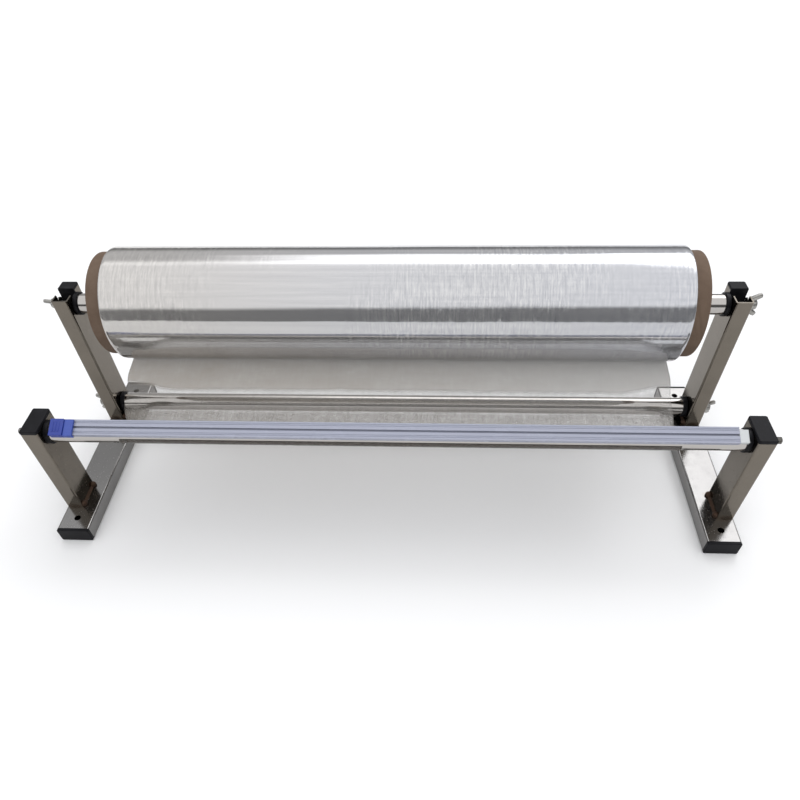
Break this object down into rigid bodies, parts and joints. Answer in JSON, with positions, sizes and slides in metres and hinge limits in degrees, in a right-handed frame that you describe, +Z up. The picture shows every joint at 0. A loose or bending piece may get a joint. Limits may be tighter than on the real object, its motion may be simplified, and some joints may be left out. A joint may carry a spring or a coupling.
{
  "type": "cling film dispenser",
  "caption": "Counter-top cling film dispenser: tube end frames hold a lift-out film roll, a guide roller and a front bar with a slide cutter.",
  "frame": {"origin": "middle of the overall length and depth, at the counter under the bases", "axes": "+X along the bars to the right seen from the front, +Y back from the cutter to the film roll, +Z up"},
  "size_m": [0.6452, 0.2132, 0.2002],
  "materials": {
    "polished_steel": "mirror-polished stainless steel tube",
    "black_plastic": "moulded end cap with a faint grain",
    "plug_plastic": "smooth moulded bar plug",
    "weld": "heat-browned weld bead",
    "hub_plastic": "moulded core plug",
    "chromed_tube": "chromed or polished round tube",
    "zinc_thread": "zinc-plated threaded rod",
    "nut_steel": "nickel-plated nut",
    "paper_core": "spiral-wound brown paper core",
    "wound_film": "tightly wound clear film, milky in bulk",
    "clear_film": "single sheet of stretched clear film",
    "rail_plastic": "pale blue-grey extruded rail",
    "clear_stop": "milky clear block",
    "slider_blue": "moulded blue plastic",
    "slider_light": "lighter blue plastic",
    "blade_steel": "ground blade"
  },
  "bodies": {
    "frame": {"left_base_tube": "polished_steel", "left_front_post": "polished_steel", "left_rear_post": "polished_steel", "left_base_front_cap": "black_plastic", "left_base_rear_cap": "black_plastic", "left_front_post_cap": "black_plastic", "left_rear_post_cap": "black_plastic", "left_front_weld": "weld", "left_rear_weld": "weld", "right_base_tube": "polished_steel", "right_front_post": "polished_steel", "right_rear_post": "polished_steel", "right_base_front_cap": "black_plastic", "right_base_rear_cap": "black_plastic", "right_front_post_cap": "black_plastic", "right_rear_post_cap": "black_plastic", "right_front_weld": "weld", "right_rear_weld": "weld", "front_bar_tube": "chromed_tube", "front_bar_rod": "zinc_thread", "front_bar_left_plug": "plug_plastic", "front_bar_right_plug": "plug_plastic", "guide_roller_rod": "zinc_thread", "film_web": "clear_film", "cutter_track": "rail_plastic", "track_channel_stop": "rail_plastic", "track_end_stop": "clear_stop"},
    "guide_roller": {"guide_roller_tube": "chromed_tube", "guide_roller_left_plug": "plug_plastic", "guide_roller_right_plug": "plug_plastic"},
    "shaft": {"shaft_rod": "zinc_thread", "shaft_tube": "chromed_tube", "shaft_left_plug": "plug_plastic", "shaft_right_plug": "plug_plastic"},
    "roll": {"paper_core": "paper_core", "left_core_hub": "hub_plastic", "right_core_hub": "hub_plastic", "film_roll": "wound_film"},
    "slider": {"slider_body": "slider_blue", "slider_guard": "slider_light", "slider_shoe": "slider_blue", "slider_blade": "blade_steel"},
    "front_bar_left_nut": {"front_bar_left_hex_nut": "nut_steel"},
    "front_bar_right_nut": {"front_bar_right_hex_nut": "nut_steel"},
    "guide_roller_left_nut": {"guide_roller_left_wing_nut": "nut_steel"},
    "guide_roller_right_nut": {"guide_roller_right_wing_nut": "nut_steel"},
    "shaft_left_nut": {"shaft_left_wing_nut": "nut_steel"},
    "shaft_right_nut": {"shaft_right_wing_nut": "nut_steel"}
  },
  "joints": [
    {"name": "shaft_lift", "type": "slide", "parent": "frame", "child": "shaft", "axis": [0, 0, 1], "range_m": [0, 0.06]},
    {"name": "roll_spin", "type": "hinge", "parent": "shaft", "child": "roll", "pos_m": [0, 0.05638, 0.15], "axis": [1, 0, 0], "continuous": true},
    {"name": "guide_roller_spin", "type": "hinge", "parent": "frame", "child": "guide_roller", "pos_m": [0, 0.05638, 0.027], "axis": [1, 0, 0], "continuous": true},
    {"name": "slider_travel", "type": "slide", "parent": "frame", "child": "slider", "axis": [1, 0, 0], "range_m": [0, 0.5529]},
    {"name": "front_bar_left_nut_spin", "type": "hinge", "parent": "frame", "child": "front_bar_left_nut", "pos_m": [-0.3103, -0.06313, 0.1014], "axis": [1, 0, 0], "continuous": true},
    {"name": "front_bar_right_nut_spin", "type": "hinge", "parent": "frame", "child": "front_bar_right_nut", "pos_m": [0.3103, -0.06313, 0.1014], "axis": [1, 0, 0], "continuous": true},
    {"name": "guide_roller_left_nut_spin", "type": "hinge", "parent": "frame", "child": "guide_roller_left_nut", "pos_m": [-0.3103, 0.05638, 0.027], "axis": [1, 0, 0], "continuous": true},
    {"name": "guide_roller_right_nut_spin", "type": "hinge", "parent": "frame", "child": "guide_roller_right_nut", "pos_m": [0.3103, 0.05638, 0.027], "axis": [1, 0, 0], "continuous": true},
    {"name": "shaft_left_nut_spin", "type": "hinge", "parent": "shaft", "child": "shaft_left_nut", "pos_m": [-0.3103, 0.05638, 0.15], "axis": [1, 0, 0], "continuous": true},
    {"name": "shaft_right_nut_spin", "type": "hinge", "parent": "shaft", "child": "shaft_right_nut", "pos_m": [0.3103, 0.05638, 0.15], "axis": [1, 0, 0], "continuous": true}
  ]
}
